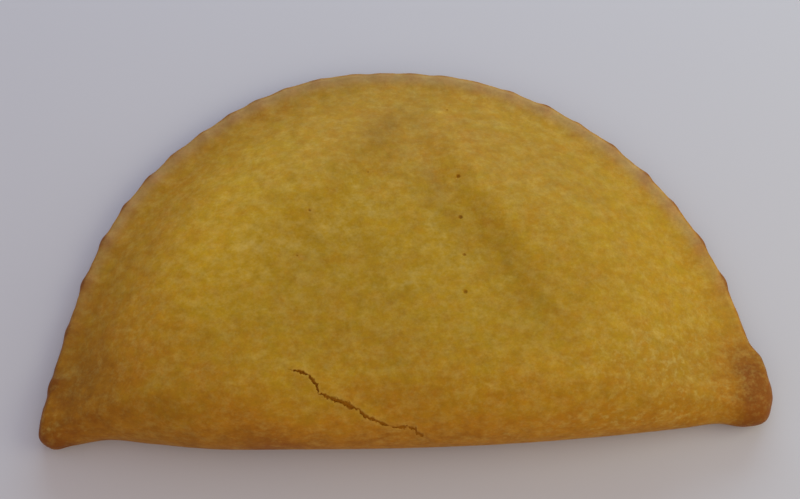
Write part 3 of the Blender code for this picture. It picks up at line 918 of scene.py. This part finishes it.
def mix_node(tree, share, first, second):
    """Mixes a colour socket with a second colour."""
    node = tree.nodes.new("ShaderNodeMix")
    node.data_type = "RGBA"
    link(tree, share, node.inputs["Factor"])
    below, above = [socket for socket in node.inputs if socket.type == "RGBA"]
    link(tree, first, below)
    above.default_value = (*second, 1.0)
    return next(socket for socket in node.outputs if socket.type == "RGBA")


def scaled_colour(tree, tone, factor_socket):
    """A colour made brighter or darker by a factor."""
    node = tree.nodes.new("ShaderNodeVectorMath")
    node.operation = "SCALE"
    link(tree, tone, node.inputs[0])
    link(tree, factor_socket, node.inputs["Scale"])
    return node.outputs["Vector"]


# Sizes of the crust's patterns, and factors that draw them out: less than 1 is longer that way.
MOTTLE_SIZE = 4.5 * MM
MOTTLE_STRETCH = (0.85, 1.1, 1.0)
POWDER_SIZE = 2.6 * MM
POWDER_STRETCH = (0.9, 1.1, 1.3)
GRAIN_SIZE = 3.0 * MM
GRAIN_STRETCH = (0.9, 1.0, 1.1)
FLECK_SIZE = 1.5 * MM
FINE_GRAIN_SIZE = 0.8 * MM

# Where on the scale from pale to brown the crust lies before it is browned, how far browning moves
# it, and the places of pale, golden, amber and brown.
TONE_LEVEL = 0.34
TONE_BROWNING = 0.62
TONE_STOPS = (0.0, 0.22, 0.62, 1.0)

# Flour and flecks by their noise: the share of the pale colour at two levels. Browned crust keeps
# less flour. The lips of the crack have a share of it too.
POWDER_STOPS = ((0.43, 0.0), (0.7, 0.4))
POWDER_BROWNING = -0.08
FLECK_STOPS = ((0.52, 0.0), (0.74, 0.8))
LIP_SHARE = 0.2

ROUGHNESS_SPREAD = 0.2


def crust_tone(tree, place, mottle, finish):
    """The crust's colour: mottled, browned by the stored level, floury and flecked, with the painted
    sheen of the far rim, and the torn colour in the crack and holes, partly painted shade.
    """
    browned = attribute_node(tree, "browning")
    level = scaled_and_shifted(tree, browned, TONE_BROWNING, TONE_LEVEL - 0.5 * finish.mottling)
    level = value_node(tree, "ADD", level, value_node(tree, "MULTIPLY", mottle, finish.mottling))
    tones = (finish.pale, finish.golden, finish.amber, finish.brown)
    tone = ramp_node(tree, level, tuple(zip(TONE_STOPS, tones)))
    powder = noise_node(tree, stretched(tree, place, POWDER_STRETCH), POWDER_SIZE, 3.0, 0.8)
    kept = value_node(tree, "MULTIPLY", browned, POWDER_BROWNING)
    powder_share = share_ramp(tree, value_node(tree, "ADD", powder, kept), POWDER_STOPS)
    tone = mix_node(tree, powder_share, tone, finish.pale)
    flecks = share_ramp(tree, noise_node(tree, place, FLECK_SIZE, 2.0), FLECK_STOPS)
    fleck_share = value_node(tree, "MULTIPLY", flecks, attribute_node(tree, "flecks"))
    tone = mix_node(tree, fleck_share, tone, finish.pale)
    lip_share = value_node(tree, "MULTIPLY", attribute_node(tree, "lips"), LIP_SHARE)
    tone = mix_node(tree, lip_share, tone, finish.pale)
    # Painted sheen: the far rim is mixed towards a pale, greyish colour, as light from behind makes it
    # look.
    tone = mix_node(tree, attribute_node(tree, "painted_rim_sheen"), tone, finish.rim_sheen_colour)
    return mix_node(tree, attribute_node(tree, "torn"), tone, finish.torn)


def fine_grain(tree, place, height):
    """The surface normal with the crust's finest grain."""
    grain = tree.nodes.new("ShaderNodeBump")
    grain.inputs["Strength"].default_value = 1.0
    grain.inputs["Distance"].default_value = height
    link(tree, noise_node(tree, place, FINE_GRAIN_SIZE, 3.0), grain.inputs["Height"])
    return grain.outputs["Normal"]


def crust_material(finish):
    """Turmeric-yellow shortcrust, mottled and grainy, satin with a little oil."""
    material = bpy.data.materials.new("turmeric_crust")
    material.use_nodes = True
    tree = material.node_tree
    shader = tree.nodes["Principled BSDF"]
    place = tree.nodes.new("ShaderNodeTexCoord").outputs["Object"]
    mottle = noise_node(tree, stretched(tree, place, MOTTLE_STRETCH), MOTTLE_SIZE, 3.0, 0.8)
    tone = crust_tone(tree, place, mottle, finish)
    grains = noise_node(tree, stretched(tree, place, GRAIN_STRETCH), GRAIN_SIZE, 4.0, 0.9)
    light = scaled_and_shifted(tree, grains, finish.graininess, 1.0 - 0.5 * finish.graininess)
    # The grains are the crust's own tone; the stored share multiplies in painted shade and highlights.
    light = value_node(tree, "MULTIPLY", light, attribute_node(tree, "painted_shade_and_tone"))
    link(tree, scaled_colour(tree, tone, light), shader.inputs["Base Color"])
    shader.inputs["Metallic"].default_value = 0.0
    shader.inputs["Specular IOR Level"].default_value = finish.gloss
    smoothest = finish.roughness - 0.5 * ROUGHNESS_SPREAD
    rough = scaled_and_shifted(tree, mottle, ROUGHNESS_SPREAD, smoothest)
    link(tree, rough, shader.inputs["Roughness"])
    link(tree, fine_grain(tree, place, finish.grain_height), shader.inputs["Normal"])
    return material


class PATTY_OT_brown_crust(bpy.types.Operator):
    """Browns the crust and gives it its colours, flecks and grain, with painted shade and highlights on
    the top and a painted sheen on the far rim
    """

    bl_idname = "patty.brown_crust"
    bl_label = "Brown Crust"

    def execute(self, context):
        scene = context.scene
        mesh = crust_object().data
        points = mesh_points(mesh)
        outline = Outline()
        halo = scene.patty_crack.vent_halo
        level = browning(points, outline, scene.patty_form, scene.patty_crimps, halo)
        under = smoothstep(UNDER_FACING[0], UNDER_FACING[1], -mesh_normals(mesh)[:, 2])
        flecks = np.clip(FLECKS_ELSEWHERE + patch_sum(points, FLECK_PATCHES), 0.0, 1.0)
        store(mesh, "browning", level + UNDER_BROWNING * under)
        store(mesh, "flecks", flecks)
        # Painted shade and highlights on the top, not on the underside.
        store(mesh, "painted_shade_and_tone", 1.0 + patch_sum(points, PAINTED_SHADE_AND_TONE_PATCHES) * (1.0 - under))
        # Painted sheen along the far rim.
        store(mesh, "painted_rim_sheen", rim_sheen_share(points, outline))
        mesh.materials.append(crust_material(scene.patty_finish))
        return {"FINISHED"}


# Soft lights: name, place, width and height in metres, multiple of the lamp power, tint. Powers and
# tints were fitted to a photograph's colours by a program, and then tuned.
SOFT_LIGHTS = (
    ("window_light", (0.1, 0.6, 0.25), (0.7, 0.3), 2.95, (0.57, 0.79, 1.0)),
    ("side_light", (0.45, 0.0, 0.3), (0.4, 0.4), 0.93, (1.0, 1.0, 0.75)),
    ("front_light", (-0.05, -0.5, 0.35), (0.5, 0.4), 0.38, (1.0, 0.75, 0.05)),
)
SKY_TINT = (0.93, 0.82, 1.0)
FLOOR_SIZE = 3.0
FLOOR_ROUGHNESS = 0.6
SENSOR_WIDTH_MM = 36.0


def aim_at(thing, target):
    """Turns a camera or a light towards a point."""
    thing.rotation_euler = (Vector(target) - thing.location).to_track_quat("-Z", "Y").to_euler()


def lay_floor(context, stage):
    """A plain pale floor under the patty."""
    bpy.ops.mesh.primitive_plane_add(size=FLOOR_SIZE)
    floor = context.object
    floor.name = "floor"
    material = bpy.data.materials.new("pale_floor")
    material.use_nodes = True
    shader = material.node_tree.nodes["Principled BSDF"]
    shader.inputs["Base Color"].default_value = (*stage.floor_colour, 1.0)
    shader.inputs["Roughness"].default_value = FLOOR_ROUGHNESS
    floor.data.materials.append(material)


def light_stage(scene, stage):
    """Even light from all round, and the soft lights."""
    world = bpy.data.worlds.new("soft_sky")
    world.use_nodes = True
    sky = world.node_tree.nodes["Background"]
    sky.inputs["Color"].default_value = (*SKY_TINT, 1.0)
    sky.inputs["Strength"].default_value = stage.sky_strength
    scene.world = world
    for name, place, size, power, tint in SOFT_LIGHTS:
        lamp = bpy.data.lights.new(name, "AREA")
        lamp.shape = "RECTANGLE"
        lamp.size, lamp.size_y = size
        lamp.energy = stage.lamp_power * power
        lamp.color = tint
        soft_light = bpy.data.objects.new(name, lamp)
        soft_light.location = place
        soft_light.visible_camera = False
        scene.collection.objects.link(soft_light)
        aim_at(soft_light, (0.0, 0.0, 0.0))


def set_camera(scene, stage):
    """A camera that looks down at the patty from in front."""
    camera_data = bpy.data.cameras.new("camera")
    camera_data.sensor_width = SENSOR_WIDTH_MM
    camera_data.lens = camera_data.sensor_width * stage.distance / stage.view_width
    camera = bpy.data.objects.new("camera", camera_data)
    turn, rise = math.radians(stage.azimuth), math.radians(stage.elevation)
    target = Vector((stage.aim_across, stage.aim, 0.0))
    away = Vector((math.sin(turn) * math.cos(rise), -math.cos(turn) * math.cos(rise), math.sin(rise)))
    camera.location = target + stage.distance * away
    scene.collection.objects.link(camera)
    aim_at(camera, target)
    scene.camera = camera


class PATTY_OT_set_stage(bpy.types.Operator):
    """Sets the floor, the soft light and the camera"""

    bl_idname = "patty.set_stage"
    bl_label = "Set Stage"

    def execute(self, context):
        scene = context.scene
        stage = scene.patty_stage
        lay_floor(context, stage)
        light_stage(scene, stage)
        set_camera(scene, stage)
        scene.view_settings.view_transform = "Standard"
        return {"FINISHED"}


OPERATORS = (PATTY_OT_shape_crust, PATTY_OT_open_crust, PATTY_OT_brown_crust, PATTY_OT_set_stage)
SETTINGS = {
    "patty_form": PattyForm,
    "patty_crimps": CrimpForm,
    "patty_relief": ReliefForm,
    "patty_crack": CrackForm,
    "patty_finish": CrustFinish,
    "patty_stage": StageSettings,
}


class PATTY_PT_panel(bpy.types.Panel):
    """Lists the steps and sizes of the patty"""

    bl_idname = "PATTY_PT_panel"
    bl_label = "Patty"
    bl_space_type = "VIEW_3D"
    bl_region_type = "UI"
    bl_category = "Patty"

    def draw(self, context):
        layout = self.layout
        for operator in OPERATORS:
            layout.operator(operator.bl_idname)
        for name, kind in SETTINGS.items():
            box = layout.box()
            box.label(text=kind.__doc__)
            group = getattr(context.scene, name)
            for prop in kind.__annotations__:
                box.prop(group, prop)


def register():
    """Registers the settings, the operators and the panel."""
    for name, kind in SETTINGS.items():
        bpy.utils.register_class(kind)
        setattr(bpy.types.Scene, name, PointerProperty(type=kind))
    for kind in (*OPERATORS, PATTY_PT_panel):
        bpy.utils.register_class(kind)


def unregister():
    """Takes them all away again."""
    for kind in (PATTY_PT_panel, *reversed(OPERATORS)):
        bpy.utils.unregister_class(kind)
    for name, kind in SETTINGS.items():
        delattr(bpy.types.Scene, name)
        bpy.utils.unregister_class(kind)


def main():
    """Makes the whole patty and its stage."""
    register()
    bpy.ops.patty.shape_crust()
    bpy.ops.patty.open_crust()
    bpy.ops.patty.brown_crust()
    bpy.ops.patty.set_stage()


if __name__ == "__main__":
    main()
